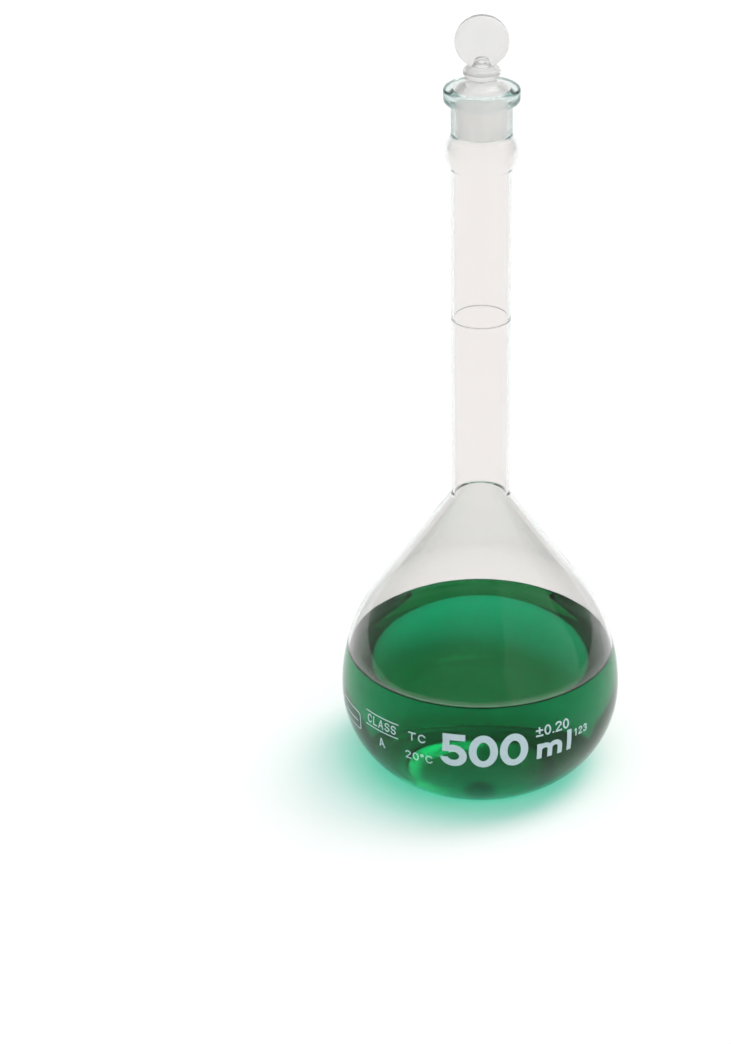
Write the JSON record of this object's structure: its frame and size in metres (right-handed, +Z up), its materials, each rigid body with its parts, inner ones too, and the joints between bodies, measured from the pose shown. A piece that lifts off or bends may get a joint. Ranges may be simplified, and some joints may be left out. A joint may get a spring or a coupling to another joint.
{
  "type": "volumetric flask",
  "caption": "Stoppered volumetric flask: pear-shaped glass bulb, long neck with a graduation ring, ground socket and lift-out penny-head stopper, part filled with green solution.",
  "frame": {"origin": "centre of the standing ring, on the surface that the flask stands on", "axes": "+Z up the axis of the flask towards the stopper; the printed side faces -Y and the flat faces of the stopper's head face -Y and +Y"},
  "size_m": [0.1, 0.1001, 0.281],
  "materials": {
    "clear_glass": "polished",
    "ground_glass": "satin",
    "stopper_glass": "polished",
    "green_solution": "polished",
    "ring_enamel": "satin",
    "white_enamel": "satin"
  },
  "bodies": {
    "flask": {"bulb": "clear_glass", "neck_tube": "clear_glass", "ground_socket": "ground_glass", "graduation_ring": "ring_enamel", "liquid": "green_solution", "capacity_figures": "white_enamel", "capacity_unit": "white_enamel", "tolerance_mark": "white_enamel", "serial_mark": "white_enamel", "class_mark": "white_enamel", "calibration_mark": "white_enamel", "temperature_mark": "white_enamel", "write_on_panel": "white_enamel"},
    "stopper": {"stopper": "stopper_glass"}
  },
  "joints": [
    {"name": "stopper_lift", "type": "slide", "parent": "flask", "child": "stopper", "axis": [0, 0, 1], "range_m": [0, 0.024]}
  ]
}
